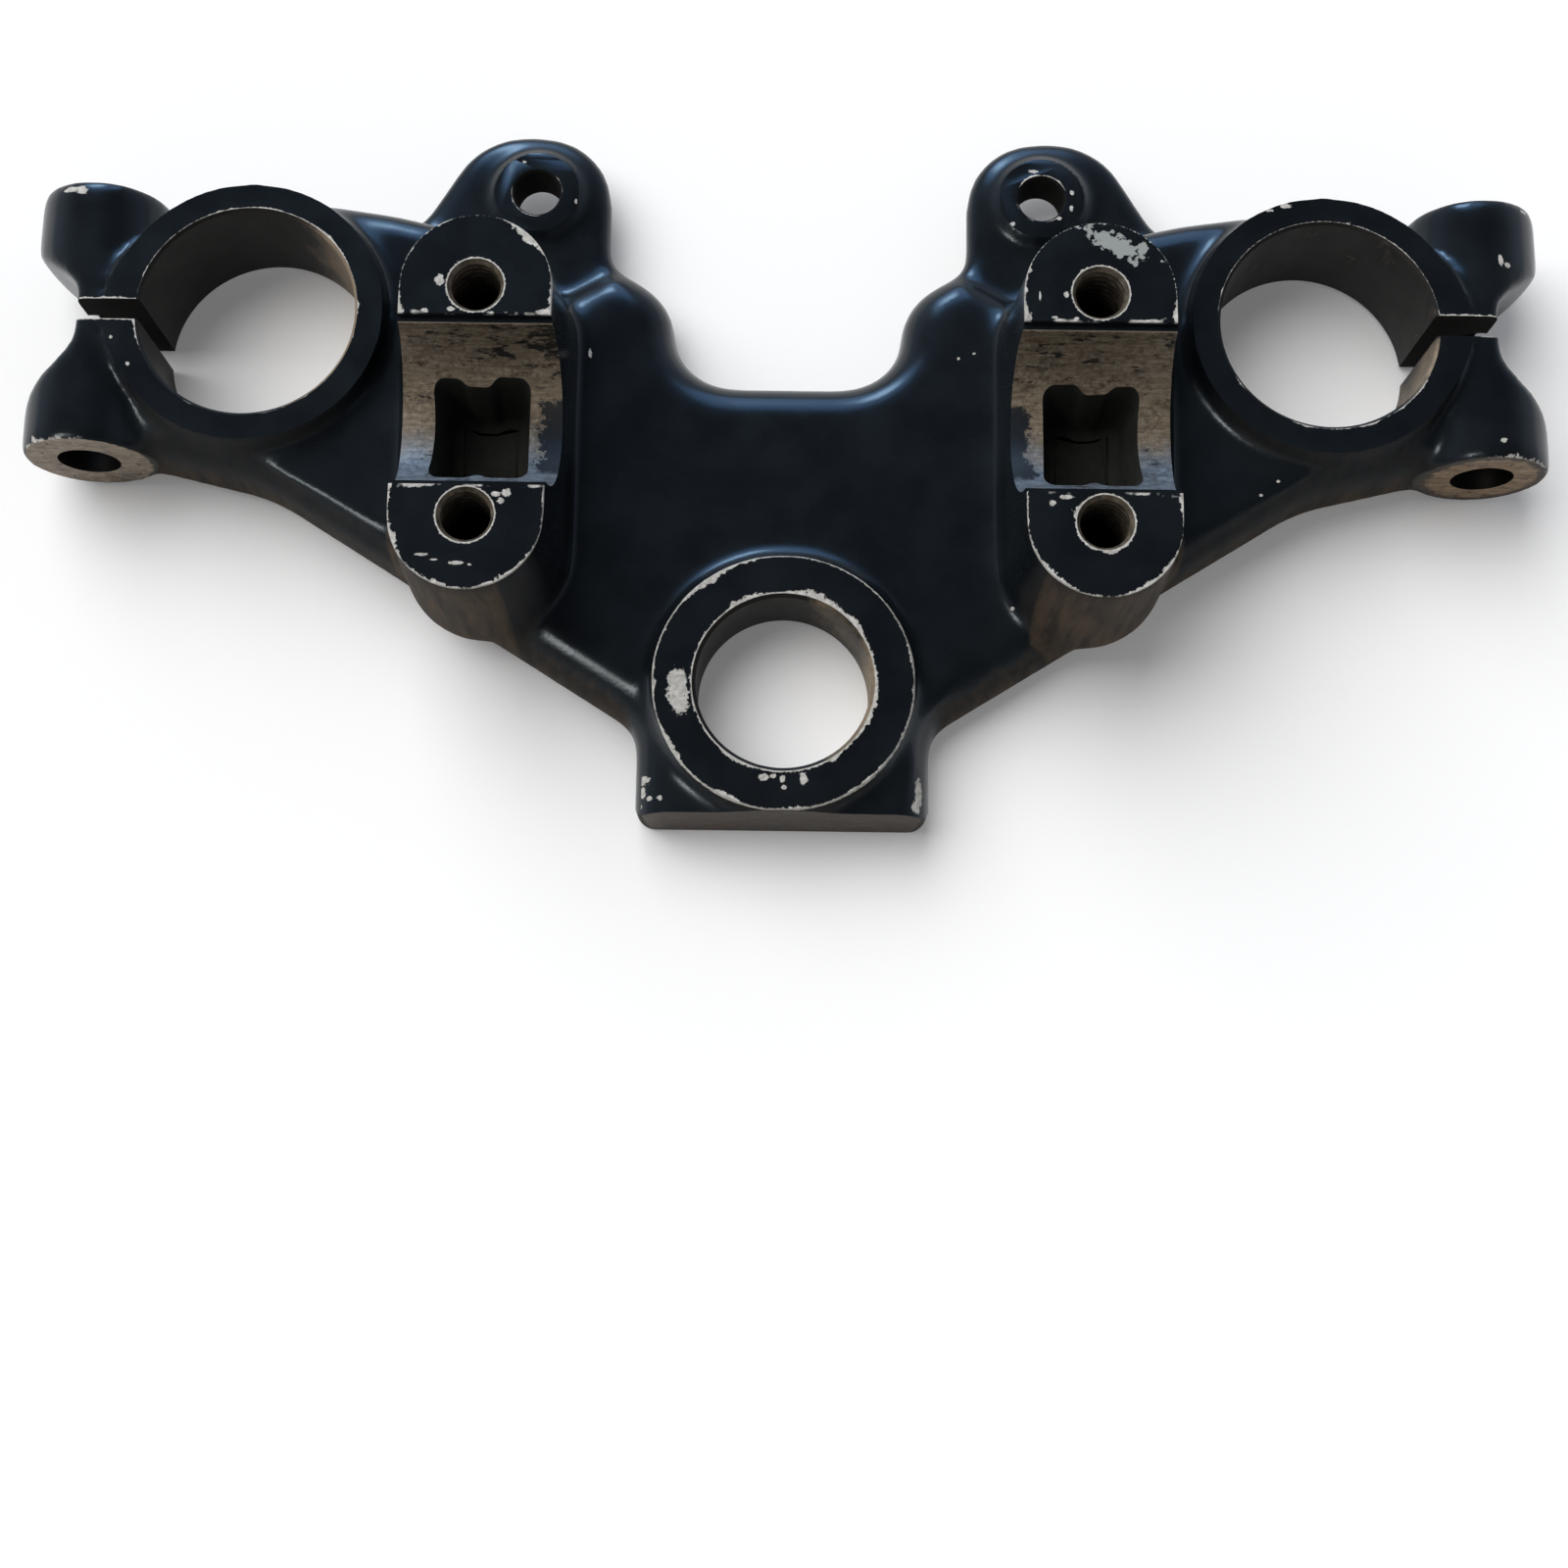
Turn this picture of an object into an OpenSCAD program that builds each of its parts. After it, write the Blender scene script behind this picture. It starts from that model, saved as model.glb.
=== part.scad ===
// Top yoke of a small motorcycle: one aluminium casting that joins both fork tubes
// to the steering stem and carries the handlebar risers and two instrument ears.
// The origin is on the stem bore's axis at the underside. +X is to the rider's right,
// +Y points forward and +Z up along the stem.

/* [Steering stem] */
// Diameter of the stem bore
stem_bore_d = 24; // [20:0.5:27]
// Diameter of the raised round boss around the stem bore
stem_boss_d = 36; // [33:0.5:38]
// Height of the stem boss above the underside
stem_h = 12; // [11:0.5:15]
// Width of the square pad behind the stem
pad_w = 40.6; // [38:0.2:46]
// Distance from the stem axis back to the flat rear face of the pad
pad_back = 18.5; // [18:0.5:24]

/* [Fork clamps] */
// Distance between the fork tube axes
fork_spacing = 150; // [144:1:160]
// Distance from the stem axis forward to the fork axes
fork_offset = 50.5; // [48:0.5:53]
// Diameter of the fork tube bore
fork_bore_d = 30; // [26:0.5:33]
// Wall of the clamp ring around the fork bore
clamp_wall = 4; // [3.5:0.5:6]
// Height of the clamp ring above the underside
clamp_h = 18; // [16:0.5:22]
// Width of the slit that lets the clamp close
slit_w = 3; // [2:0.5:4]

/* [Pinch lugs] */
// Distance from the fork axis out to the pinch bolt axis
pinch_out = 23; // [21:0.5:26]
// Diameter of the round lug around the pinch bolt
pinch_boss_d = 18; // [15:0.5:18]
// Distance from the slit's middle to the bare rear face that the bolt head seats on
pinch_rear = 19; // [17:0.5:22]
// Distance from the slit's middle to the front end of the lug
pinch_front = 19.2; // [17:0.2:22]
// Reach of the lug's waist past the pinch bolt axis, so small that the bolt shows in it
pinch_waist = 0.8; // [0:0.1:2]
// Half length of the waist, which the slit divides
waist_half = 2.8; // [2.5:0.1:4]
// Length over which the rear lug widens from the waist
flare_rear = 11.5; // [8:0.5:12]
// Length over which the front lug widens from the waist
flare_front = 9.5; // [6:0.5:12]
// Diameter of the clearance hole through the rear lug
pinch_clear_d = 8.6; // [8:0.1:9]
// Diameter of the tapping hole through the front lug
pinch_tap_d = 6.8; // [6.4:0.1:7.2]

/* [Handlebar risers] */
// Distance between the middles of the two risers
riser_spacing = 83; // [80:1:88]
// Distance from the stem axis forward to the handlebar axis
riser_y = 33; // [31:0.5:35]
// Width of a riser at its flats
riser_w = 20.4; // [19:0.2:22]
// Height of the riser flats above the underside
riser_h = 30; // [29:0.5:34]
// How much wider a riser is on each side where it meets the web
riser_draft = 1.5; // [0.5:0.1:2]
// How much farther back a riser's rear wall is at the web than at the top
rear_draft = 0.3; // [0.2:0.1:0.5]
// Diameter of the handlebar
bar_d = 22.2; // [22:0.1:25.4]
// Depth of the handlebar axis below the riser flats
bar_drop = 0.5; // [0:0.1:0.8]
// Width of the painted ledge between the bar seat and each flat
seat_ledge = 0.8; // [0.4:0.1:0.9]
// Distance between the two tapped holes of one riser
bar_bolt_pitch = 32; // [31.5:0.5:36]
// Diameter of the tapping holes in the risers
bar_tap_d = 6.8; // [6.4:0.1:7.2]
// Depth of the tapping holes in the risers
bar_tap_depth = 20; // [16:1:20]
// Length of the window in the bar seat, along Y
window_l = 14; // [12:0.2:14.4]
// Width of the window in the bar seat, along X
window_w = 13; // [10:0.2:13.6]
// Thickness of the floor under the window
window_floor = 4; // [3:0.5:5]

/* [Instrument ears] */
// Distance between the two ear holes
ear_spacing = 73.2; // [70:0.2:76]
// Distance from the stem axis forward to the ear holes
ear_y = 73.6; // [72:0.2:76]
// Diameter of the ear holes
ear_hole_d = 6.7; // [6:0.1:8]
// Diameter of the round end of an ear
ear_d = 20.8; // [18:0.2:22]
// Diameter of the raised boss on an ear
ear_boss_d = 12.8; // [11:0.2:14]
// Height of the ear boss above the underside
ear_boss_h = 9; // [8.5:0.5:10]
// Slope of an ear's outer side: how far it runs inwards for each millimetre forward
ear_lean = 0.591; // [0.5:0.001:0.65]
// Thickness of an ear without its boss
ear_t = 5; // [4:0.5:6]
// Height of the ear's lower face above the underside
ear_lift = 2.5; // [1:0.5:3]

/* [Web] */
// Height of the web around the stem
web_h = 10; // [9:0.5:10.5]
// Height of the arms beside the fork clamps
arm_h = 15; // [13:0.5:15.5]
// Where the web's slanting rear edges leave the pad, forward of the stem axis
web_rear = -5.4; // [-7:0.2:-3]
// Distance from the stem axis forward to the edge of the web between the ears
web_front = 45; // [43:0.5:47]
// Half of the gap between the shoulders that carry the ears
shoulder_x = 16.4; // [14:0.2:18]
// Radius of the shoulders
shoulder_r = 13.4; // [11:0.2:15]
// Length of the shoulders, from the web's front edge to the step down to the ears
shoulder_l = 19.4; // [17:0.2:20.6]
// Radius of the rounded upper edge of the web
edge_r = 4; // [3:0.5:4.5]
// Radius of the fillets in the corners of the outline
corner_r = 5; // [3:0.5:7]
// Radius of the arms' wide bends, behind the clamp rings and beside the ears
arm_bend_r = 20; // [16:1:22]
// Radius of the fillets where rings, bosses and risers rise out of the web
flare_r = 2.5; // [1.5:0.5:3]

/* [Underside] */
// Thickness of the web over the pockets
roof_t = 4.5; // [4:0.5:5]
// Width of the wall around the pockets
rim_w = 6; // [5.5:0.5:8]
// Width of the ribs between the pockets
rib_w = 4; // [3:0.5:5]
// Width of one pocket
pocket_w = 20; // [16:0.5:21]

/* [Hidden] */
$fn = 96;
// Steps in degrees: of an outline's wide arcs, of its small arcs, of a rounded edge
// and of a riser's round ends
large_arc_step = 15;
small_arc_step = 30;
edge_step = 30;
end_step = 9;
// Radius from which an arc of an outline counts as wide
large_arc_r = 8;
eps = 0.01;
paint = [0.05, 0.08, 0.12];
fork_x = fork_spacing / 2;
ring_r = fork_bore_d / 2 + clamp_wall;
// Where the arm's slanting rear edge ends, behind the clamp ring
arm_x = fork_x - 1.5;
arm_rear = fork_offset - ring_r - 3.4;
pinch_x = fork_x + pinch_out;
pinch_r = pinch_boss_d / 2;
pinch_z = clamp_h / 2;
riser_x = riser_spacing / 2;
riser_r = riser_w / 2;
riser_foot_r = riser_r + riser_draft;
bar_z = riser_h - bar_drop;
bar_r = bar_d / 2;
seat_gap = bar_d + 2 * seat_ledge;
ear_x = ear_spacing / 2;
ear_r = ear_d / 2;
step_y = web_front + shoulder_l;
mouth_chamfer = 0.6;
rim_chamfer = 0.5;
lower_edge_r = 1.5;
// Radius of a plate's corners that lie inside other forms
hidden_r = edge_r + 0.2;
floor_z = web_h - roof_t + window_floor;

// Everything that comes in pairs, on both sides of the stem
module pair() {
    children();
    mirror([1, 0, 0]) children();
}

// A shape's outline with its corners rounded
module soften(r) {
    offset(r = r, $fn = 16) offset(r = -r, $fn = 16) children();
}

// A vector's direction, with length 1
function unit(v) = v / norm(v);

// Points of the arc that rounds corner b between a and c, each with its outward normal
function corner_arc(a, b, c, r) =
    let (
        u = unit(a - b), v = unit(c - b), half = acos(u * v) / 2,
        middle = b + unit(u + v) * r / sin(half),
        turn = sign(u.y * v.x - u.x * v.y),
        first = unit(b + u * r / tan(half) - middle), last = unit(b + v * r / tan(half) - middle),
        sweep = acos(first * last), steps = max(2, ceil(sweep / (r > large_arc_r ? large_arc_step : small_arc_step)))
    )
    [for (i = [0:steps]) let (
        n = (first * sin(sweep * (1 - i / steps)) + last * sin(sweep * i / steps)) / sin(sweep)
    ) [middle + r * n, turn * n]];

// An outline from corners [x, y, radius], listed anticlockwise, as points with their normals.
// Where two arcs meet in one point, that point is kept once.
function rounded_outline(corners) =
    let (
        n = len(corners), at = function (i) let (c = corners[(i + n) % n]) [c.x, c.y],
        all = [for (i = [0:n - 1]) each corner_arc(at(i - 1), at(i), at(i + 1), corners[i][2])]
    )
    [for (i = [0:len(all) - 1]) if (norm(all[i][0] - all[(i + 1) % len(all)][0]) > 0.05) all[i]];

// Corners on the right of the stem followed by their mirror images on the left
function both_sides(corners) =
    concat(corners, [for (i = [len(corners) - 1:-1:0]) [-corners[i].x, corners[i].y, corners[i][2]]]);

// Which side of the line from a to b the point c lies on: more than 0 is to the left
function side_of(a, b, c) = (b.x - a.x) * (c.y - a.y) - (b.y - a.y) * (c.x - a.x);

// Can the corner at place i of the list left be cut off its outline as a triangle?
function is_free(p, left, i) =
    let (n = len(left), ia = left[(i + n - 1) % n], ic = left[(i + 1) % n], a = p[ia], b = p[left[i]], c = p[ic])
    side_of(a, b, c) > 0 && len([for (k = left) if (
        k != ia && k != left[i] && k != ic &&
        side_of(a, b, p[k]) >= 0 && side_of(b, c, p[k]) >= 0 && side_of(c, a, p[k]) >= 0
    ) k]) == 0;

function first_free(p, left, i = 0) =
    i == len(left) - 1 || is_free(p, left, i) ? i : first_free(p, left, i + 1);

// Triangles that fill an outline, found by cutting off one free corner after another
function filled(p, left) =
    len(left) == 3 ? [left] :
    let (n = len(left), i = first_free(p, left))
    concat([[left[(i + n - 1) % n], left[i], left[(i + 1) % n]]],
        filled(p, [for (k = [0:n - 1]) if (k != i) left[k]]));

// A solid through level sections with the same number of points each, from the lowest up
module loft(sections) {
    n = len(sections[0]);
    top = (len(sections) - 1) * n;
    points = [for (section = sections) each section];
    sides = [for (k = [0:len(sections) - 2], i = [0:n - 1]) let (j = (i + 1) % n)
        each [[k * n + i, k * n + n + i, k * n + n + j], [k * n + i, k * n + n + j, k * n + j]]];
    roof = [for (t = filled(points, [for (i = [0:n - 1]) top + i])) [t[2], t[1], t[0]]];
    polyhedron(points, concat(sides, filled(points, [for (i = [0:n - 1]) i]), roof));
}

// A plate with rounded edges: levels gives how far each height is inset from the outline
module rounded_plate(outline, levels) {
    loft([for (level = levels) [for (p = outline) [each (p[0] - p[1] * level[0]), level[1]]]]);
}

// Insets and heights of an edge rounded by r above and chamfered below
function casting_levels(height, r, low) =
    concat([[low, 0], [0, low]], [for (a = [0:edge_step:90]) [r * (1 - cos(a)), height - r + r * sin(a)]]);

// A cylinder with a chamfer at its upper rim
module chamfered_post(r, h, c) {
    rotate_extrude() polygon([[0, 0], [r, 0], [r, h - c], [r - c, h], [0, h]]);
}

// A round hole with a chamfer at its mouth, which is at z = h
module mouthed_hole(d, h, c = mouth_chamfer) {
    translate([0, 0, -eps]) cylinder(d = d, h = h + 2 * eps);
    translate([0, 0, h - c]) cylinder(d1 = d, d2 = d + 2 * c + 2 * eps, h = c + eps);
}

// The concave fillet at the foot of a round boss, over part of its turn. It starts a little
// below the surface that it runs out into, so that the two meet at a clear angle.
module foot_flare(r, z, from, turn) {
    foot = z - 0.15;
    points = [for (a = [0:15:90]) [r + flare_r * (1 - sin(a)), foot + flare_r * (1 - cos(a))]];
    rotate([0, 0, from]) rotate_extrude(angle = turn)
        polygon(concat([[r - 1, foot - 1], [r + flare_r, foot - 1]], points, [[r - 1, foot + flare_r]]));
}

// The slanting rear edge of the web and the arms, at a distance x from the stem
function rear_edge(x) = web_rear + (x - pad_w / 2) * (arm_rear - web_rear) / (arm_x - pad_w / 2);

// The web between the risers, with the pad behind the stem and a shoulder for each ear
module web() {
    end_x = riser_x + 8;
    corners = [
        [pad_w / 2, -pad_back, hidden_r], [pad_w / 2, rear_edge(pad_w / 2), corner_r],
        [end_x, rear_edge(end_x), hidden_r], [end_x, step_y, hidden_r],
        [shoulder_x, step_y, shoulder_r], [shoulder_x, web_front, corner_r + 1]
    ];
    rounded_plate(rounded_outline(both_sides(corners)), casting_levels(web_h, edge_r, lower_edge_r));
}

// The higher arm from under the riser, past the clamp ring's rear side and into the rear lug.
// It begins inside the riser and ends inside the ring and the lug.
module arm() {
    inner_x = riser_x + 3;
    lug_x = pinch_x - 2;
    ring_x = fork_x + 8;
    set_in = 0.4;
    lug_y = fork_offset - pinch_rear / 2;
    front_y = fork_offset + ring_r;
    corners = [
        [inner_x, rear_edge(inner_x) + set_in, hidden_r], [arm_x, arm_rear + set_in, arm_bend_r],
        [lug_x, fork_offset - pinch_rear + 1.4, hidden_r], [lug_x, lug_y, hidden_r],
        [ring_x, lug_y, hidden_r], [ring_x, fork_offset + 0.82 * ring_r, hidden_r],
        [fork_x - 8, front_y + 0.2, 0.6 * arm_bend_r], [fork_x - ring_r, front_y - 1.4, arm_bend_r],
        [inner_x + 2, front_y - 3.6, hidden_r]
    ];
    rounded_plate(rounded_outline(corners), casting_levels(arm_h, edge_r, lower_edge_r));
}

// The thin plate of an ear. Its outer side leans inwards, from the valley beside the clamp
// ring to the ear's round end, and its rear part lies inside the web and the arm.
module ear_plate() {
    r = ear_t / 2 - 0.1;
    root_y = step_y - 7.4;
    neck_x = ear_x - ear_r;
    side = [ear_x, ear_y] + ear_r * unit([1, ear_lean]);
    tip = side + [-ear_lean, 1] * (ear_y + ear_r - side.y);
    valley = side + [ear_lean, -1] * (side.y - fork_offset - ring_r + 0.4);
    corners = [
        [shoulder_x + 3, root_y, r + 0.2], [riser_x + 14, root_y, r + 0.2],
        [riser_x + 18, valley.y - 0.6, r + 0.2], [valley.x, valley.y, corner_r + 1],
        [tip.x, tip.y, ear_r], [neck_x, ear_y + ear_r, ear_r],
        [neck_x, step_y - 1.4, corner_r], [shoulder_x + 4, root_y + 3.5, r + 0.2]
    ];
    levels = [for (a = [-90:edge_step:90])
        [r * (1 - cos(a)), ear_lift + ear_t / 2 + r * sin(a)]];
    rounded_plate(rounded_outline(corners), levels);
}

module ear_boss() {
    translate([ear_x, ear_y, ear_lift]) chamfered_post(ear_boss_d / 2, ear_boss_h - ear_lift, rim_chamfer);
}

// The fillet at the stem boss's foot stops where the boss reaches the pad's edge
module stem_boss() {
    chamfered_post(stem_boss_d / 2, stem_h, rim_chamfer);
    foot_flare(stem_boss_d / 2, web_h, -40, 260);
}

module stem_pad() {
    translate([-pad_w / 2 + edge_r, -pad_back, 0]) cube([pad_w - 2 * edge_r, pad_back, web_h]);
}

// The fillet at the clamp ring's foot runs along the arm, on the riser's side
module clamp_ring() {
    translate([fork_x, fork_offset, 0]) {
        chamfered_post(ring_r, clamp_h, rim_chamfer);
        foot_flare(ring_r, arm_h, 130, 110);
    }
}

// The pinch lug's outline from above: full width at both ends, drawn in to the waist
module lug_plan() {
    waist_x = pinch_x + pinch_waist;
    outer_x = pinch_x + pinch_r;
    swell = [for (t = [0:0.125:1]) [waist_x + (outer_x - waist_x) * (1 - cos(180 * t)) / 2, t]];
    rear = [for (i = [len(swell) - 1:-1:0]) [swell[i].x, -waist_half - flare_rear * swell[i].y]];
    front = [for (p = swell) [p.x, waist_half + flare_front * p.y]];
    translate([0, fork_offset])
        polygon(concat(
            [[pinch_x - pinch_r, -pinch_rear], [outer_x, -pinch_rear]], rear, front,
            [[outer_x, pinch_front], [pinch_x - pinch_r, pinch_front]]
        ));
}

// A round lug along the pinch bolt, cut to its outline from above
module pinch_lug() {
    intersection() {
        translate([0, 0, -1]) linear_extrude(clamp_h + 2) lug_plan();
        translate([pinch_x, fork_offset + 2 * pinch_front, pinch_z]) rotate([90, 0, 0])
            cylinder(r = pinch_r, h = 4 * pinch_front);
    }
}

// An oblong section of a riser, with round ends of radius r, at height z
function riser_section(r, rear, front, z) = [
    for (a = [180:end_step:360]) [riser_x + r * cos(a), rear + r * sin(a), z],
    for (a = [0:end_step:180]) [riser_x + r * cos(a), front + r * sin(a), z]
];

// A riser with drafted sides and round ends: its rear wall is nearly upright and turns in below
module riser() {
    rear = riser_y - bar_bolt_pitch / 2;
    front = riser_y + bar_bolt_pitch / 2;
    foot = rear + riser_draft - rear_draft;
    turn_in = edge_r / 3;
    loft([
        riser_section(riser_foot_r - edge_r, foot + turn_in, front, lower_edge_r - 0.5),
        riser_section(riser_foot_r - turn_in, foot + rear_draft, front, (web_h - edge_r) / 2),
        riser_section(riser_foot_r, foot, front, web_h - edge_r),
        riser_section(riser_r, rear, front, riser_h)
    ]);
}

// The bar seat, the window and the tapped holes, cut from one riser
module riser_cuts() {
    translate([riser_x, riser_y, 0]) {
        translate([-riser_w, 0, bar_z]) rotate([0, 90, 0]) cylinder(r = bar_r, h = 2 * riser_w);
        translate([-riser_w, -seat_gap / 2, bar_z - bar_drop]) cube([2 * riser_w, seat_gap, riser_h]);
        window();
        for (y = [-1, 1] * bar_bolt_pitch / 2)
            translate([0, y, riser_h - bar_tap_depth]) mouthed_hole(bar_tap_d, bar_tap_depth);
    }
}

// The cast pocket under the window: narrower at its floor, with a nub in each end wall
module window() {
    corner = 2.5;
    nub_r = 2.2;
    nub_reach = 1;
    taper = 0.72;
    depth = bar_z - floor_z;
    mouth_depth = bar_z - sqrt(bar_r * bar_r - window_l * window_l / 4) - floor_z;
    mouth = 1 / (1 - (1 - taper) * (depth - mouth_depth) / depth);
    translate([0, 0, bar_z]) mirror([0, 0, 1]) linear_extrude(depth, scale = taper) scale(mouth)
        difference() {
            offset(r = corner, $fn = 16)
                square([window_w, window_l] - 2 * [corner, corner], center = true);
            for (y = [-1, 1] * (window_l / 2 + nub_r - nub_reach))
                translate([0, y]) circle(r = nub_r, $fn = 16);
        }
}

// The pockets in the underside, between ribs
module underside_pockets() {
    first = rib_w / 2;
    second = first + pocket_w + rib_w;
    corner = 1.5;
    // The rim's width is kept square to the slanting rear edge
    back = function (x) rear_edge(x) + 1.2 * rim_w;
    plan = function (x, front) [
        [x, back(x)], [x + pocket_w, back(x + pocket_w)], [x + pocket_w, front], [x, front]
    ];
    pair() translate([0, 0, -eps]) linear_extrude(web_h - roof_t) {
        soften(corner) difference() {
            polygon(plan(first, web_front - rim_w));
            circle(r = stem_boss_d / 2 + 1);
        }
        soften(corner) polygon(plan(second, step_y - rim_w));
    }
}

module fork_cuts() {
    translate([fork_x, fork_offset, 0]) {
        mouthed_hole(fork_bore_d, clamp_h);
        translate([0, -slit_w / 2, -eps]) cube([pinch_out + 2 * pinch_r, slit_w, clamp_h + 2 * eps]);
    }
    translate([pinch_x, fork_offset, pinch_z]) {
        rotate([90, 0, 0]) cylinder(d = pinch_clear_d, h = pinch_rear + eps);
        rotate([-90, 0, 0]) cylinder(d = pinch_tap_d, h = pinch_front + eps);
    }
}

module yoke_casting() {
    color(paint) difference() {
        union() {
            web();
            stem_boss();
            stem_pad();
            pair() {
                arm();
                ear_plate();
                ear_boss();
                clamp_ring();
                pinch_lug();
                riser();
            }
        }
        underside_pockets();
        mouthed_hole(stem_bore_d, stem_h);
        pair() {
            fork_cuts();
            riser_cuts();
            translate([ear_x, ear_y, 0]) mouthed_hole(ear_hole_d, ear_boss_h, 0.4);
        }
    }
}

yoke_casting();
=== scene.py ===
"""Top yoke of a small motorcycle: one painted aluminium casting, seen from above on a pale floor."""
import math

import bmesh
import bpy
from mathutils import Euler, Matrix, Vector


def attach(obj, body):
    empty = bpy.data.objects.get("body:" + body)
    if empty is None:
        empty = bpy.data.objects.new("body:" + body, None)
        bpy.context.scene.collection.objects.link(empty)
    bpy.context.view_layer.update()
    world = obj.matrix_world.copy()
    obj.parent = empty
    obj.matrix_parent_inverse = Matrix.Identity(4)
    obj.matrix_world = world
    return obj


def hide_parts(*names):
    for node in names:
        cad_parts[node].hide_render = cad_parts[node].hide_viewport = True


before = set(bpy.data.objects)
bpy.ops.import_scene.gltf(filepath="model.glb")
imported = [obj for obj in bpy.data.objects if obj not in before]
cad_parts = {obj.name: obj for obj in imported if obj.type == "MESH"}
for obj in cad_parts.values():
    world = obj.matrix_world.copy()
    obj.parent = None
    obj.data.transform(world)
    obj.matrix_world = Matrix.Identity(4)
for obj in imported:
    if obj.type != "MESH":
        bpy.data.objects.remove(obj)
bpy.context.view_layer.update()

MM = 0.001

# Sizes of the casting in millimetres, the same as in the solid: radii, heights, places and half widths
STEM_BORE_R, STEM_BOSS_R, STEM_H = 12.0, 18.0, 12.0
PAD_X, PAD_BACK = 20.3, -18.5
FORK_X, FORK_Y, FORK_BORE_R, RING_R, CLAMP_H = 75.0, 50.5, 15.0, 19.0, 18.0
SLIT_HALF = 1.5
PINCH_X, PINCH_Z, PINCH_R, PINCH_REAR, PINCH_FRONT = 98.0, 9.0, 9.0, 31.5, 69.7
PINCH_HOLE_R, PINCH_TAP_R = 4.3, 3.4
RISER_X, RISER_Y, RISER_R, RISER_FOOT_R, RISER_H = 41.5, 33.0, 10.2, 11.7, 30.0
BAR_Z, BAR_R, SEAT_HALF, BOLT_HALF = 29.5, 11.1, 11.9, 16.0
EAR_X, EAR_Y, EAR_BOSS_R, EAR_HOLE_R, EAR_BOSS_H = 36.6, 73.6, 6.4, 3.35, 9.0
WEB_H, ARM_H, WEB_FRONT = 10.0, 15.0, 45.0
WINDOW_FLOOR, POCKET_DEEP = 9.5, 5.5

# The ears start a little thicker than in the solid, because smoothing takes some off
EAR_LOW, EAR_HIGH = 2.4, 7.6

# The riser holes have a real thread, where the solid has plain holes of the tapping size
HOLE_FLOOR, THREAD_MINOR_R, THREAD_MAJOR_R, THREAD_PITCH = 10.5, 3.3, 3.7, 1.25

# Radii of the casting's edges, larger on the web than in the solid, and chamfers at the mouths of its bores
WEB_EDGE, ARM_EDGE, EAR_EDGE, LOWER_EDGE = 5.5, 4, 2, 1.2
STEM_CHAMFER, FORK_CHAMFER, EAR_CHAMFER = 0.5, 0.4, 0.3

# The skin over the cast pieces: how fine its mesh is, and how often it is smoothed
SKIN_STEP, FIRST_SMOOTHING, LAST_SMOOTHING = 0.65, 6, 22

# Half the width of the floor, and how far it lies below the casting
FLOOR_HALF, FLOOR_DROP = 3000, 0.3

# Both sides of the stem: -1 is left of it in the photograph's view, 1 is right
SIDES = (-1, 1)


# Tools for shaping

def at(x, y, z):
    return Matrix.Translation((x, y, z))


def add_disc_post(bm, x, y, low, high, r, segments=96, turn=None):
    """A round post between two heights, or along another axis with turn."""
    place = at(x, y, (low + high) / 2) if turn is None else turn
    bmesh.ops.create_cone(bm, cap_ends=True, segments=segments, radius1=r, radius2=r,
                          depth=high - low, matrix=place)


def add_block(bm, x0, x1, y0, y1, z0, z1):
    size = Matrix.Diagonal((x1 - x0, y1 - y0, z1 - z0, 1))
    middle = at((x0 + x1) / 2, (y0 + y1) / 2, (z0 + z1) / 2)
    return bmesh.ops.create_cube(bm, size=1, matrix=middle @ size)["verts"]


def add_outline(bm, corners, z):
    """One flat face with the corners (x, y)."""
    return bm.faces.new([bm.verts.new((x, y, z)) for x, y in corners])


def raise_faces(bm, height):
    """Makes a block of the flat faces, and gives back its upper vertices."""
    raised = bmesh.ops.extrude_face_region(bm, geom=bm.faces[:])["geom"]
    tops = [g for g in raised if isinstance(g, bmesh.types.BMVert)]
    bmesh.ops.translate(bm, vec=(0, 0, height), verts=tops)
    return tops


def round_off(bm, geom, offset, segments, affect="VERTICES"):
    """Rounds the corners of a flat outline, or the edges of a block if it affects EDGES."""
    bmesh.ops.bevel(bm, geom=geom, offset=offset, offset_type="OFFSET", segments=segments, profile=0.5,
                    affect=affect, material=-1, clamp_overlap=False)


def add_plate(bm, corners, low, high, top_edge, bottom_edge=LOWER_EDGE):
    """A plate whose outline has the corners (x, y, radius), with its upper and lower edges rounded."""
    part = bmesh.new()
    verts = add_outline(part, [(x, y) for x, y, r in corners], low).verts[:]
    count = len(corners)
    reach = []
    for i, (x, y, r) in enumerate(corners):
        a = Vector(corners[i - 1][:2]) - Vector((x, y))
        b = Vector(corners[(i + 1) % count][:2]) - Vector((x, y))
        reach.append(r / math.tan(a.angle(b) / 2))
    for vert, offset in zip(verts, reach):
        round_off(part, [vert], offset, 6)
    raise_faces(part, high - low)
    bmesh.ops.recalc_face_normals(part, faces=part.faces[:])
    for z, offset in ((high, top_edge), (low, bottom_edge)):
        rim = [e for e in part.edges if all(abs(v.co.z - z) < 1e-4 for v in e.verts)]
        round_off(part, rim, offset, 5, "EDGES")
    merge_into(bm, part)


def merge_into(bm, part):
    """Adds a finished bmesh to another one."""
    mesh = bpy.data.meshes.new("part")
    part.to_mesh(mesh)
    part.free()
    bm.from_mesh(mesh)
    bpy.data.meshes.remove(mesh)


def add_mirrored(bm, build):
    """What build makes on the right of the stem, and its mirror image on the left."""
    for side in SIDES:
        part = bmesh.new()
        build(part)
        if side < 0:
            bmesh.ops.scale(part, vec=(-1, 1, 1), verts=part.verts[:])
        bmesh.ops.recalc_face_normals(part, faces=part.faces[:])
        merge_into(bm, part)


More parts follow.
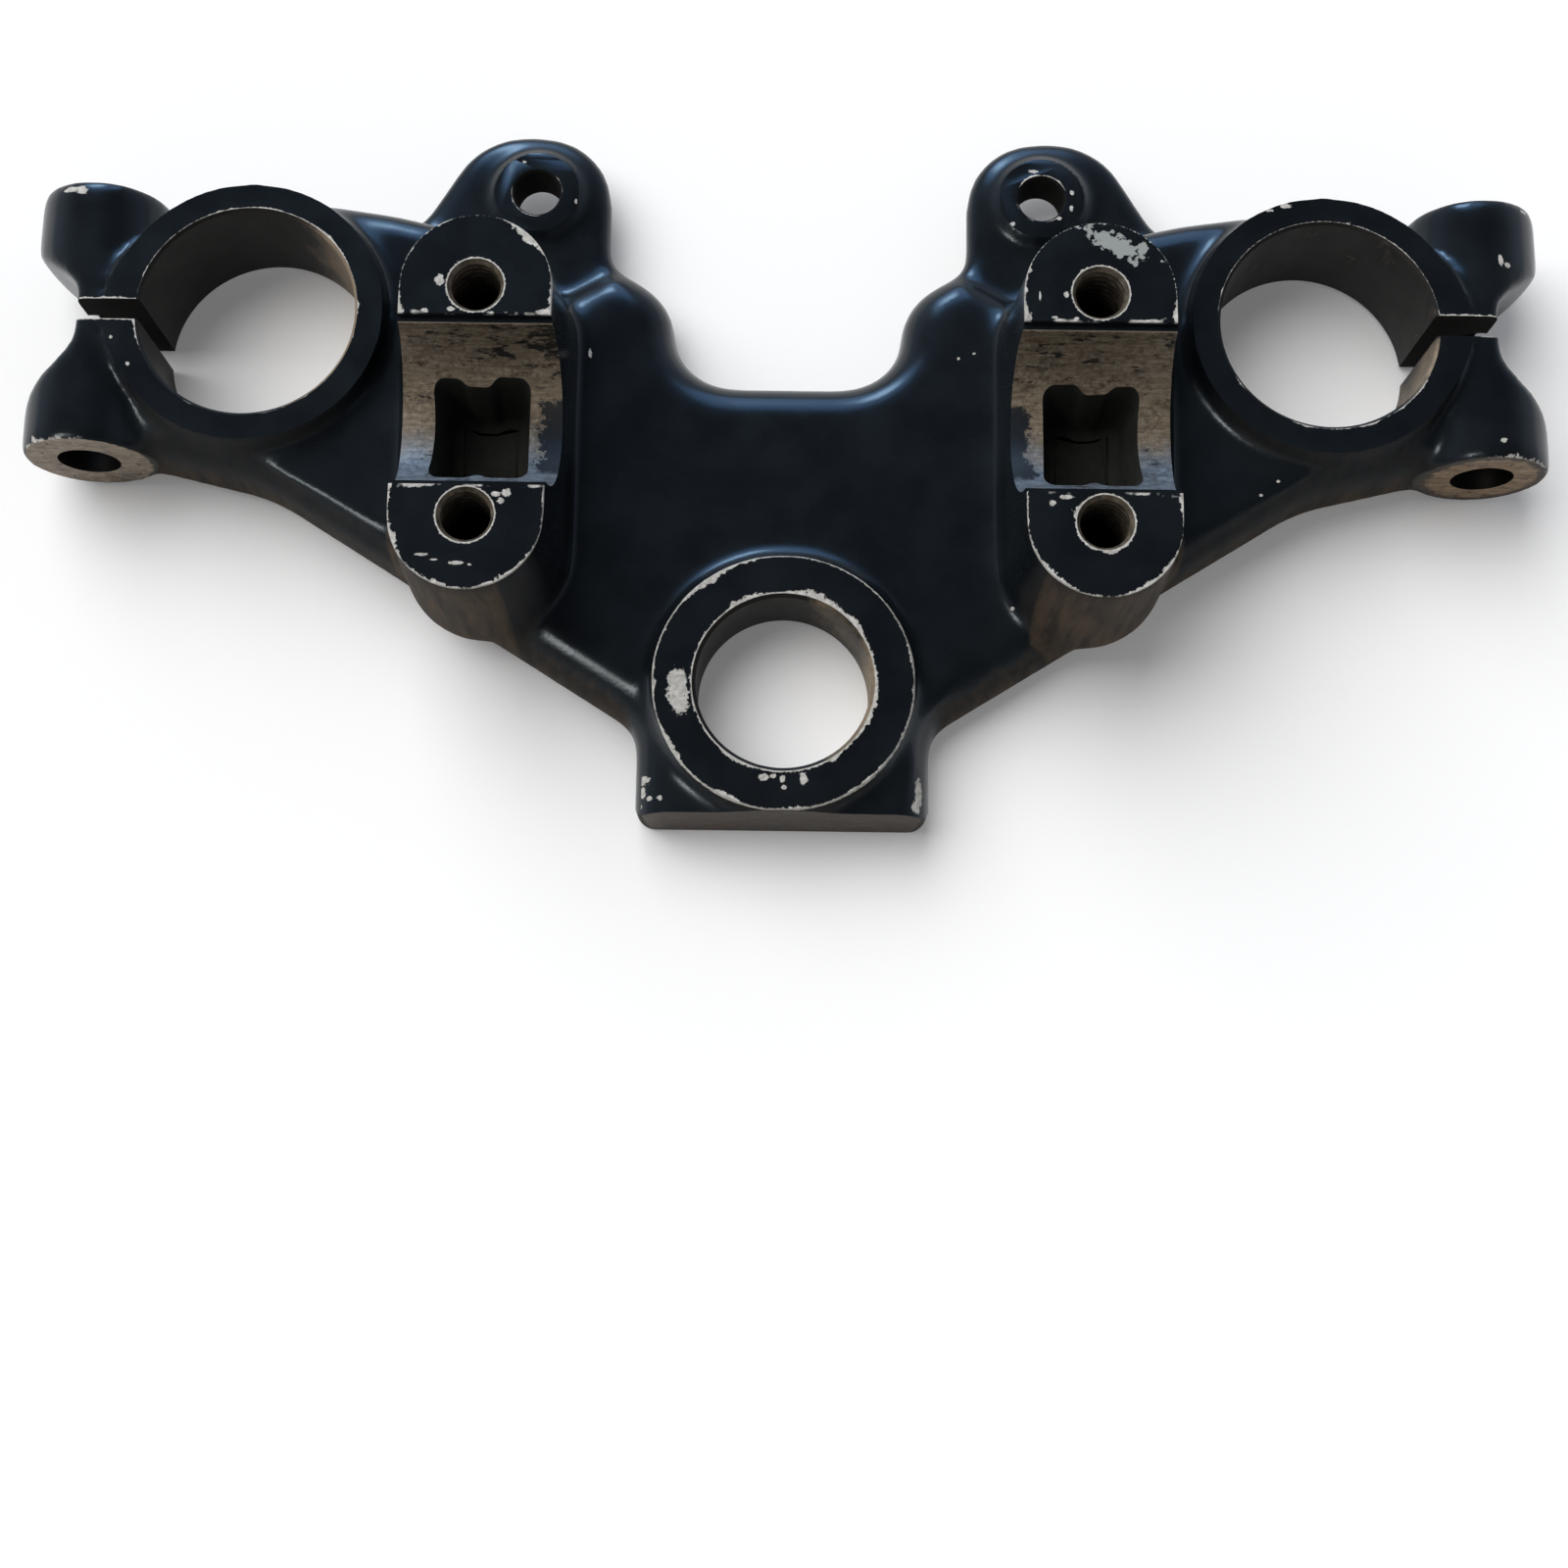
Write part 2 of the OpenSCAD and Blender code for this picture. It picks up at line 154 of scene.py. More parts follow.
def make_object(bm, name, *materials):
    """The bmesh, drawn in millimetres, as an object in metres at the origin."""
    bmesh.ops.scale(bm, vec=(MM, MM, MM), verts=bm.verts[:])
    mesh = bpy.data.meshes.new(name)
    bm.to_mesh(mesh)
    bm.free()
    obj = bpy.data.objects.new(name, mesh)
    bpy.context.scene.collection.objects.link(obj)
    for material in materials:
        mesh.materials.append(material)
    return obj


def keep_modified(obj):
    """Puts what the modifiers make into the object's own mesh."""
    made = bpy.data.meshes.new_from_object(obj.evaluated_get(bpy.context.evaluated_depsgraph_get()))
    obj.modifiers.clear()
    old = obj.data
    obj.data = made
    bpy.data.meshes.remove(old)


def fuse(obj, rounds):
    """Melts overlapping shells into one skin and softens it, which leaves the fillets of a casting."""
    remesh = obj.modifiers.new("skin", "REMESH")
    remesh.mode = "VOXEL"
    remesh.voxel_size = SKIN_STEP * MM
    soften = obj.modifiers.new("fillets", "SMOOTH")
    soften.factor = 0.5
    soften.iterations = rounds
    keep_modified(obj)


def cut(obj, build, material, mirrored=True):
    """Takes a shape out of the casting, on both sides of the stem if it is mirrored."""
    bm = bmesh.new()
    if mirrored:
        add_mirrored(bm, build)
    else:
        build(bm)
        bmesh.ops.recalc_face_normals(bm, faces=bm.faces[:])
    tool = make_object(bm, "cutter", material)
    saw = obj.modifiers.new("cut", "BOOLEAN")
    saw.operation = "DIFFERENCE"
    saw.solver = "MANIFOLD"
    saw.object = tool
    keep_modified(obj)
    bpy.data.objects.remove(tool)


# The casting as it leaves the mould, with a little stock on the faces that are machined later

def rear_edge(x):
    """Where the web's slanting rear edge lies beside the pad."""
    return -5.4 + (x - PAD_X) * 33.5 / (73.5 - PAD_X)


def build_arm(bm):
    add_plate(bm, [
        (44.5, rear_edge(44.5) + 0.4, 4), (73.5, 28.5, 20), (96, 33.9, 4), (96, 41, 4), (83, 41, 4),
        (83, 66.1, 4), (67, 69.7, 12), (56, 68.1, 20), (46.5, 65.9, 4),
    ], 0, ARM_H, ARM_EDGE)


def build_ear(bm):
    add_plate(bm, [
        (19.4, 57, 2), (55.5, 57, 2), (59.5, 68.3, 2), (54.1, 68.9, 6), (45.2, 84, 10.4),
        (25.9, 84, 10.4), (25.9, 63, 5), (20.4, 60.5, 2),
    ], EAR_LOW, EAR_HIGH, EAR_EDGE, EAR_EDGE)
    add_disc_post(bm, EAR_X, EAR_Y, 4, EAR_BOSS_H + 0.6, EAR_BOSS_R + 0.2)


def build_clamp(bm):
    add_disc_post(bm, FORK_X, FORK_Y, 0.4, CLAMP_H + 1.2, RING_R + 0.1)


def build_lug(bm):
    """The round bar that becomes the two pinch lugs."""
    along = (PINCH_REAR + PINCH_FRONT) / 2
    half = (PINCH_FRONT - PINCH_REAR) / 2 + 0.6
    turn = at(PINCH_X, along, PINCH_Z) @ Matrix.Rotation(math.radians(90), 4, "X")
    add_disc_post(bm, 0, 0, -half, half, PINCH_R + 0.1, segments=64, turn=turn)


def build_riser(bm):
    """A drafted post, round at both ends, from rings (radius, shift of the rear ring, height)."""
    rear, front = RISER_Y - BOLT_HALF, RISER_Y + BOLT_HALF
    rings = ((RISER_R - 0.1, 0, RISER_H + 1.5), (RISER_FOOT_R, 1.2, WEB_H - 4),
             (RISER_FOOT_R - 1.4, 1.5, 3), (RISER_FOOT_R - 4, 2.5, 1))
    for r, shift, z in rings:
        for y in (rear + shift, front):
            bmesh.ops.create_circle(bm, cap_ends=False, segments=64, radius=r, matrix=at(RISER_X, y, z))
    made = bmesh.ops.convex_hull(bm, input=bm.verts[:])
    loose = [g for g in made["geom_interior"] if isinstance(g, bmesh.types.BMVert)]
    bmesh.ops.delete(bm, geom=loose, context="VERTS")


def cast_casting():
    bm = bmesh.new()
    end_x = 49.5
    right = [
        (PAD_X, PAD_BACK - 4.5, 4), (PAD_X, -5.4, 5), (end_x, rear_edge(end_x), 4), (end_x, 57.5, 4),
        (34, 57.9, 6), (24.8, 63.2, 2.5), (16.4, 57.8, 8), (16.4, WEB_FRONT, 9),
    ]
    left = [(-x, y, r) for x, y, r in reversed(right)]
    add_plate(bm, right + left, 0, WEB_H, WEB_EDGE)
    add_disc_post(bm, 0, 0, 2, STEM_H + 0.8, STEM_BOSS_R + 0.1)
    for build in (build_arm, build_ear, build_clamp, build_lug, build_riser):
        add_mirrored(bm, build)
    return make_object(bm, "yoke_casting_finish")


# Shapes that are cut away, each drawn on the right of the stem

def add_turned(bm, x, y, profile, steps):
    """A solid of revolution about an upright axis, from points (r, z)."""
    part = bmesh.new()
    verts = [part.verts.new((r, 0, z)) for r, z in profile]
    edges = [part.edges.new(pair) for pair in zip(verts, verts[1:])]
    bmesh.ops.spin(part, geom=verts + edges, cent=(0, 0, 0), axis=(0, 0, 1), angle=math.tau, steps=steps,
                   use_merge=True)
    bmesh.ops.remove_doubles(part, verts=part.verts[:], dist=1e-4)
    bmesh.ops.recalc_face_normals(part, faces=part.faces[:])
    bmesh.ops.translate(part, vec=(x, y, 0), verts=part.verts[:])
    merge_into(bm, part)


def add_bore(bm, x, y, low, high, r, chamfer):
    """A straight bore with chamfered mouths."""
    far = 3
    add_turned(bm, x, y, [
        (0, low - far), (r + chamfer + far, low - far), (r + chamfer, low), (r, low + chamfer),
        (r, high - chamfer), (r + chamfer, high), (r + chamfer + far, high + far), (0, high + far),
    ], 128)


def add_threaded_hole(bm, x, y):
    """A blind hole with the ridges of a thread and a small chamfer at its mouth."""
    crest, mouth = 0.06 * THREAD_PITCH, THREAD_MAJOR_R + 0.08
    profile = [(0, HOLE_FLOOR - 1.5), (THREAD_MINOR_R, HOLE_FLOOR)]
    z = HOLE_FLOOR + THREAD_PITCH
    while z < RISER_H - 0.5:
        profile += [(THREAD_MINOR_R, z - crest), (THREAD_MINOR_R, z + crest),
                    (THREAD_MAJOR_R, z + 0.5 * THREAD_PITCH)]
        z += THREAD_PITCH
    profile += [(THREAD_MINOR_R + 0.2, RISER_H - 0.5), (THREAD_MAJOR_R, RISER_H - 0.08), (mouth, RISER_H),
                (mouth, RISER_H + 3), (0, RISER_H + 3)]
    add_turned(bm, x, y, profile, 64)


def under_cut(bm):
    add_block(bm, -120, 120, -40, 100, -6, 0)


def stem_face_cut(bm):
    add_disc_post(bm, 0, 0, STEM_H, STEM_H + 4, STEM_BOSS_R + 4)


def face_cut(bm):
    """The flats on the riser and the ear boss, and the lug's front end."""
    add_block(bm, RISER_X - 13, RISER_X + 13, 2, 64, RISER_H, RISER_H + 5)
    add_disc_post(bm, EAR_X, EAR_Y, EAR_BOSS_H, EAR_BOSS_H + 4, EAR_BOSS_R + 2.5)
    add_block(bm, PINCH_X - 14, PINCH_X + 14, PINCH_FRONT, PINCH_FRONT + 5, -5, 25)


def ring_face_cut(bm):
    add_block(bm, 54.5, 112, 25, 76, CLAMP_H, CLAMP_H + 6)


def lug_face_cut(bm):
    """The bare face where the head of the pinch bolt sits."""
    add_block(bm, PINCH_X - 10.2, PINCH_X + 14, 20, PINCH_REAR, -5, 25)


def pad_rear_cut(bm):
    """The rear stop face, which leans forward a little towards the top."""
    for vert in add_block(bm, -25, 25, -25, PAD_BACK, 0, WEB_H + 2):
        if vert.co.y > PAD_BACK - 1 and vert.co.z > 1:
            vert.co.y += 0.7


def pad_corner_cut(bm):
    """What is missing outside the rounded corner of the pad."""
    r, steps = 2.6, 8
    middle_x, middle_y = PAD_X - r, PAD_BACK + r
    outline = [(PAD_X + 3, middle_y), (PAD_X + 3, PAD_BACK - 3), (middle_x, PAD_BACK - 3)]
    for i in range(steps + 1):
        turn = math.radians(-90 + 90 * i / steps)
        outline.append((middle_x + r * math.cos(turn), middle_y + r * math.sin(turn)))
    add_outline(bm, outline, -2)
    raise_faces(bm, 16)


def seat_cut(bm):
    turn = at(RISER_X, RISER_Y, BAR_Z) @ Matrix.Rotation(math.radians(90), 4, "Y")
    add_disc_post(bm, 0, 0, -16, 16, BAR_R, segments=160, turn=turn)


def seat_gap_cut(bm):
    """The step between the riser's flats and the bar seat."""
    add_block(bm, RISER_X - 16, RISER_X + 16, RISER_Y - SEAT_HALF, RISER_Y + SEAT_HALF,
              BAR_Z - 0.5, BAR_Z + 8)


def slit_cut(bm):
    add_block(bm, FORK_X, PINCH_X + 16, FORK_Y - SLIT_HALF, FORK_Y + SLIT_HALF, -3, CLAMP_H + 3)


def waist_cut(bm):
    """What is missing beside the waist of the lug: a smooth bay that opens outwards."""
    outer, steps = PINCH_X + 14, 16
    waist, full = PINCH_X + 0.8, PINCH_X + PINCH_R + 0.4
    outline = [(outer, FORK_Y - 15)]
    shares = [i / steps for i in range(steps + 1)]
    for t in shares:
        x = full + (waist - full) * (1 - math.cos(math.pi * t)) / 2
        outline.append((x, FORK_Y - 2.8 - 11.5 * (1 - t)))
    for t in shares:
        x = waist + (full - waist) * (1 - math.cos(math.pi * t)) / 2
        outline.append((x, FORK_Y + 2.8 + 9.5 * t))
    outline.append((outer, FORK_Y + 13))
    add_outline(bm, outline, -5)
    raise_faces(bm, 30)


def window_cut(bm):
    """The cast pocket in the bar seat, narrower at its floor, with a nub in each end wall."""
    half_x, half_y = 6.8, 7.3
    face = add_outline(bm, [
        (half_x, -half_y), (half_x, half_y), (3.1, half_y - 0.1), (2.0, half_y - 0.9), (-0.9, half_y - 1.0),
        (-2.2, half_y + 0.1), (-half_x, half_y), (-half_x, -half_y), (-1.5, -half_y), (0, -half_y + 0.6),
        (1.5, -half_y),
    ], 0)
    round_off(bm, [v for v in face.verts if abs(v.co.x) > 5], 1.7, 5)
    round_off(bm, [v for v in bm.verts if abs(v.co.x) < 3.2], 0.45, 3)
    tops = set(raise_faces(bm, 16))
    bmesh.ops.scale(bm, vec=(0.76, 0.76, 1), verts=[v for v in bm.verts if v not in tops])
    bmesh.ops.scale(bm, vec=(1.1, 1.1, 1), verts=list(tops))
    bmesh.ops.recalc_face_normals(bm, faces=bm.faces[:])
    round_off(bm, [e for e in bm.edges if all(v.co.z < 0.1 for v in e.verts)], 1.2, 4, "EDGES")
    flat = max((f for f in bm.faces if f.normal.z < -0.9), key=lambda f: f.calc_area())
    bmesh.ops.inset_region(bm, faces=[flat], thickness=0.3)
    bmesh.ops.translate(bm, vec=(RISER_X, RISER_Y - 0.5, WINDOW_FLOOR), verts=bm.verts[:])


def pocket_cut(bm):
    """The two pockets on one side of the underside."""
    below = 2
    middle = [(2, 20.5), (22, 20.5), (22, 39), (2, 39)]
    under_riser = [(26, 5.5), (46, 18), (46, 58.4), (26, 58.4)]
    for corners in (middle, under_riser):
        part = bmesh.new()
        round_off(part, add_outline(part, corners, -below).verts[:], 2.5, 5)
        raise_faces(part, below + POCKET_DEEP)
        bmesh.ops.recalc_face_normals(part, faces=part.faces[:])
        merge_into(bm, part)


def pinch_cut(bm):
    """The clearance hole in the rear half of the lug and the tapped one in the front half."""
    past = 3
    for end, r in ((PINCH_REAR - past, PINCH_HOLE_R), (PINCH_FRONT + past, PINCH_TAP_R)):
        middle = at(PINCH_X, (end + FORK_Y) / 2, PINCH_Z)
        turn = middle @ Matrix.Rotation(math.radians(90), 4, "X")
        add_disc_post(bm, 0, 0, 0, abs(FORK_Y - end), r, segments=64, turn=turn)


def stem_bore_cut(bm):
    add_bore(bm, 0, 0, 0, STEM_H, STEM_BORE_R, STEM_CHAMFER)


def fork_bore_cut(bm):
    add_bore(bm, FORK_X, FORK_Y, 0, CLAMP_H, FORK_BORE_R, FORK_CHAMFER)


def ear_hole_cut(bm):
    add_bore(bm, EAR_X, EAR_Y, EAR_LOW, EAR_BOSS_H, EAR_HOLE_R, EAR_CHAMFER)


def rear_bolt_cut(bm):
    add_threaded_hole(bm, RISER_X, RISER_Y - BOLT_HALF)


def front_bolt_cut(bm):
    add_threaded_hole(bm, RISER_X, RISER_Y + BOLT_HALF)


# Tools for materials

class Value:
    """A number that varies over the surface, written as ordinary arithmetic."""

    def __init__(self, nodes, socket):
        self.nodes, self.socket = nodes, socket

    def run(self, operation, *others):
        return self.nodes.maths(operation, self, *others)

    def __add__(self, other):
        return self.run("ADD", other)

    def __sub__(self, other):
        return self.run("SUBTRACT", other)

    def __mul__(self, other):
        return self.run("MULTIPLY", other)

    def __rsub__(self, other):
        return self.nodes.maths("SUBTRACT", other, self)

    def __neg__(self):
        return self * -1

    def __abs__(self):
        return self.run("ABSOLUTE")

    def least(self, other):
        return self.run("MINIMUM", other)

    def most(self, other):
        return self.run("MAXIMUM", other)

    def within(self, limit):
        """1 where the number lies within the limit of 0, and 0 elsewhere."""
        return abs(self).run("LESS_THAN", limit)

    def step(self, low, high):
        """0 up to low, 1 from high on, and a straight rise between them. It falls if low is the larger."""
        node = self.nodes.add("ShaderNodeMapRange")
        for key, value in (("Value", self), ("From Min", low), ("From Max", high)):
            self.nodes.feed(node.inputs[key], value)
        return Value(self.nodes, node.outputs[0])

    __radd__, __rmul__ = __add__, __mul__


class Nodes:
    """Short words for the nodes of one material. Lengths are in millimetres."""

    def __init__(self, name):
        self.material = bpy.data.materials.new(name)
        self.material.use_nodes = True
        self.tree = self.material.node_tree
        self.shader = self.tree.nodes["Principled BSDF"]
        self.place = self.add("ShaderNodeTexCoord").outputs["Object"]
        split = self.add("ShaderNodeSeparateXYZ")
        self.tree.links.new(self.place, split.inputs[0])
        self.x, self.y, self.z = (Value(self, out) * 1000 for out in split.outputs)
        self.side = abs(self.x)

    def add(self, kind, **values):
        node = self.tree.nodes.new(kind)
        for key, value in values.items():
            setattr(node, key, value)
        return node

    def feed(self, socket, value):
        if isinstance(value, Value):
            self.tree.links.new(value.socket, socket)
        elif isinstance(value, bpy.types.NodeSocket):
            self.tree.links.new(value, socket)
        else:
            socket.default_value = value

    def maths(self, operation, *values):
        node = self.add("ShaderNodeMath", operation=operation)
        for socket, value in zip(node.inputs, values):
            self.feed(socket, value)
        return Value(self, node.outputs[0])

    def distance(self, a, b):
        """How far the point (a, b) is from 0, 0."""
        return self.maths("SQRT", a * a + b * b)

    def noise(self, size, detail=3.0, rough=0.55, stretch=(1, 1, 1), shift=(0, 0, 0)):
        """A cloudy pattern between 0 and 1 with patches of about this size."""
        spread = self.add("ShaderNodeMapping")
        self.tree.links.new(self.place, spread.inputs["Vector"])
        spread.inputs["Scale"].default_value = [1000 / size / s for s in stretch]
        spread.inputs["Location"].default_value = shift
        node = self.add("ShaderNodeTexNoise")
        self.tree.links.new(spread.outputs[0], node.inputs["Vector"])
        node.inputs["Scale"].default_value = 1
        node.inputs["Detail"].default_value = detail
        node.inputs["Roughness"].default_value = rough
        return Value(self, node.outputs["Fac"])

    def mix(self, factor, a, b):
        node = self.add("ShaderNodeMix", data_type="RGBA")
        for key, value in ((0, factor), (6, a), (7, b)):
            self.feed(node.inputs[key], value)
        return node.outputs[2]

    def facing(self, axis):
        """How far the surface faces along an axis, from -1 to 1."""
        split = self.add("ShaderNodeSeparateXYZ")
        self.tree.links.new(self.add("ShaderNodeNewGeometry").outputs["Normal"], split.inputs[0])
        return Value(self, split.outputs[axis])

    def relief(self, height, depth):
        bump = self.add("ShaderNodeBump")
        bump.inputs["Distance"].default_value = depth * MM
        bump.inputs["Strength"].default_value = 1.0
        self.feed(bump.inputs["Height"], height)
        self.feed(self.shader.inputs["Normal"], bump.outputs[0])

    def finish(self, colour, rough, metal=0.0, shine=0.3):
        """Gives the shader what it shows, and hands back the material."""
        for key, value in (("Base Color", colour), ("Roughness", rough), ("Metallic", metal),
                           ("Specular IOR Level", shine)):
            self.feed(self.shader.inputs[key], value)
        return self.material


def srgb(r, g, b):
    """A colour written in 0 to 255 as it is seen, for a shader."""
    linear = [v / 255 / 12.92 if v <= 10 else ((v / 255 + 0.055) / 1.055) ** 2.4 for v in (r, g, b)]
    return (*linear, 1.0)


# Places where the paint has come off: centre x, y and half sizes, by the height of the face
CHIPPED = {
    STEM_H: [
        (-14.5, -0.2, 1.3, 1.9), (-14.4, -1.7, 1.4, 1.9), (-14.0, -3.2, 1.1, 1.6), (-2.5, -13.4, 0.7, 0.5),
        (-1.2, -13.2, 0.4, 0.3), (0.1, -13.6, 0.35, 0.5), (0.3, -14.8, 0.35, 0.3), (2.9, -13.5, 0.5, 0.8),
    ],
    RISER_H: [
        (-46.3, 49.6, 0.6, 0.8), (-48.0, 45.3, 0.5, 0.3), (-44.6, 45.5, 0.5, 0.3), (-36.2, 20.0, 0.6, 0.6),
        (-37.6, 19.8, 0.6, 0.4), (-36.9, 18.9, 0.5, 0.4), (-46.9, 11.5, 0.9, 0.2), (-45.3, 10.8, 0.5, 0.15),
        (-42.4, 10.4, 0.9, 0.25), (-40.6, 10.2, 0.3, 0.15), (-50.7, 13.7, 0.4, 0.9),
        (36.9, 48.7, 0.35, 0.4), (33.4, 48.4, 0.15, 0.6), (35.3, 45.4, 0.4, 0.2), (38.2, 45.3, 0.4, 0.2),
        (34.6, 19.5, 0.5, 0.4), (36.5, 20.4, 0.9, 0.3),
    ],
    WEB_H: [
        (-18.9, -13.2, 0.8, 0.6), (-19.0, -15.0, 0.4, 0.8), (-18.0, -15.9, 0.4, 0.3),
        (-16.6, -15.9, 0.4, 0.3), (-19.4, -16.8, 0.3, 0.4), (18.6, -14.8, 0.5, 2.2),
        (18.3, -16.6, 0.6, 0.9), (-28, 48.3, 0.25, 0.7), (31.5, 11.1, 0.25, 0.25),
        (-53.7, 14.5, 0.2, 0.2), (26.5, 49.0, 0.2, 0.15), (24.3, 48.2, 0.2, 0.2),
    ],
    ARM_H: [
        (67.8, 28.5, 0.25, 0.2), (65.4, 26.5, 0.28, 0.22), (64.0, 24.3, 0.2, 0.2), (-57.5, 51.0, 0.2, 1.0),
    ],
    CLAMP_H: [
        (-100.5, 68.6, 1.4, 0.4), (-99.2, 68.4, 0.8, 0.6), (99.4, 60.5, 0.35, 0.9), (100.4, 59.8, 0.4, 0.4),
        (103.8, 68.9, 0.5, 0.3), (98.2, 33.8, 0.4, 0.35), (69.6, 68.2, 0.9, 0.35), (67.2, 67.5, 0.6, 0.2),
        (-93.4, 46.3, 0.25, 0.25), (-90.8, 42.4, 0.27, 0.27),
    ],
    EAR_BOSS_H: [
        (-38.6, 78.4, 0.3, 0.2), (-30.9, 72.3, 0.2, 0.4), (35.5, 77.9, 0.7, 0.25), (32.4, 69.6, 0.4, 0.3),
        (41.0, 74.6, 0.3, 0.4), (40.9, 72.2, 0.25, 0.5), (39.0, 70.6, 0.5, 0.25),
    ],
}
# How far from its face's height a chip may lie, where that is more than on a flat face: the lugs and the
# web's edges fall away
CHIP_DEPTH = {CLAMP_H: 5.0, WEB_H: 2.5}

# Places where a worn edge is wider: centre x, y, radius and how much wider in millimetres
WORN_WIDE = [
    (-10.6, 14.6, 5, 1.5), (-15.8, -9.3, 3.5, 1.4), (-7.5, -16.3, 2.5, 1.2), (1.5, -18, 2.5, 0.9),
    (9.6, 8.2, 3, 0.7), (4.5, 11.5, 5, 1.1), (-5, 11.5, 3, 0.7), (12, -3, 6, 0.5), (-6, -10.5, 3, 0.6),
    (-35.2, 56.0, 4, 1.6), (-50.5, 14, 4, 0.8), (-36, 9, 6, 0.7), (-45, 8.4, 5, 0.6), (-50, 20.8, 3, 0.8),
    (-51, 45.2, 2.5, 1.0), (-32, 45.4, 2.5, 0.8), (34.5, 10.5, 6, 0.7), (48, 9.5, 6, 0.8),
    (51, 20.5, 3, 0.8), (32.2, 45.2, 2.5, 1.2), (50.8, 46, 2.5, 0.8), (-94, 52.3, 3, 0.5),
    (94, 52.3, 5, 0.3), (-64, 61.5, 6, 0.7), (-73, 65.5, 4, 0.6), (-86, 41, 4, 0.5), (84, 61.5, 5, 0.3),
]


def chipped_spots(n, ragged, fine):
    """1 in the chipped places, with ragged outlines."""
    chipped = None
    for height, spots in CHIPPED.items():
        near = None
        for x, y, half_x, half_y in spots:
            gap = n.distance((n.x - x) * (1 / half_x), (n.y - y) * (1 / half_y))
            near = gap if near is None else near.least(gap)
        here = (n.z - height).within(CHIP_DEPTH.get(height, 0.6))
        spot = (1.05 - near - (ragged - 0.5) * 1.0 - (fine - 0.5) * 1.6).step(0, 0.1) * here
        chipped = spot if chipped is None else chipped.most(spot)
    return chipped


def worn_paint(n):
    """Where the paint is gone: along every machined edge, and in the chipped places."""
    fine, patchy = n.noise(0.5, 3, 0.7), n.noise(5, 3, 0.6)
    ragged = n.noise(0.9, 3, 0.75, shift=(3, 7, 1))
    wider = (patchy - 0.56).most(0) * 5
    for x, y, radius, extra in WORN_WIDE:
        wider = wider.most((1 - n.distance(n.x - x, n.y - y) * (1 / radius)) * extra)
    reach = fine * 0.6 - 0.13 + wider * (ragged * 2.4 - 0.7).most(0)

    def worn_line(gap, height, width):
        """A worn line where gap, the distance from an edge, is nearly 0 on the face at a height."""
        return (reach * width - abs(gap)).step(0, 0.05) * (n.z - height).within(0.4)

    past_bolts = abs(n.y - RISER_Y) - BOLT_HALF
    hole_gap = (n.distance(n.side - RISER_X, past_bolts) - 3.82).most(0)
    riser_gap = RISER_R - n.distance(n.side - RISER_X, past_bolts.most(0))
    seat_gap = (abs(n.y - RISER_Y) - SEAT_HALF - 0.2).most(0)
    fork_gap = (n.distance(n.side - FORK_X, n.y - FORK_Y) - FORK_BORE_R - 0.35).most(0)
    slit_gap = (abs(n.y - FORK_Y) - SLIT_HALF).most(FORK_X + 12 - n.side).most(0)
    stem = n.distance(n.x, n.y)
    ear_gap = (n.distance(n.side - EAR_X, n.y - EAR_Y) - EAR_HOLE_R - 0.3).most(0)
    broken = (patchy - 0.51).step(0, 0.06)
    front = (n.y - FORK_Y).step(2, 8)
    lug_rim = (reach + wider * 0.5 + (ragged - 0.5) * 2.5 - (n.y - PINCH_REAR)).step(0, 0.1)
    worn = worn_line(riser_gap, RISER_H, 1.2)
    for line in (
        worn_line(hole_gap, RISER_H, 1.1),
        worn_line(seat_gap, RISER_H, 0.8) * broken,
        worn_line(fork_gap, CLAMP_H, 0.7) * (broken + 0.001).most(front),
        worn_line(slit_gap, CLAMP_H, 0.8) * (n.y - FORK_Y).step(-0.5, 0.5),
        worn_line(slit_gap, CLAMP_H, 0.4) * broken,
        worn_line(STEM_BOSS_R - 0.1 - stem, STEM_H, 0.9),
        worn_line((stem - STEM_BORE_R - 0.45).most(0), STEM_H, 1.6),
        worn_line(ear_gap, EAR_BOSS_H, 0.5) * broken,
        lug_rim * (n.side - 96).step(0, 3) * (n.z - 13).step(0, 1),
        chipped_spots(n, ragged, fine),
    ):
        worn = worn.most(line)
    return worn


def scuffed_patch(n):
    """The mottled grey patch along the front of the right riser's flat."""
    x, y = n.x - 43.9, n.y - 55.9
    along, across = x * 0.9 - y * 0.43, x * 0.43 + y * 0.9
    spread = n.distance(along * (1 / 4.6), across * (1 / 1.7))
    cells = n.noise(1.2, 3, 0.55, shift=(1, 2, 0))
    return (cells - spread * 0.27 - 0.26).step(0, 0.04) * (n.z - RISER_H).within(0.45)


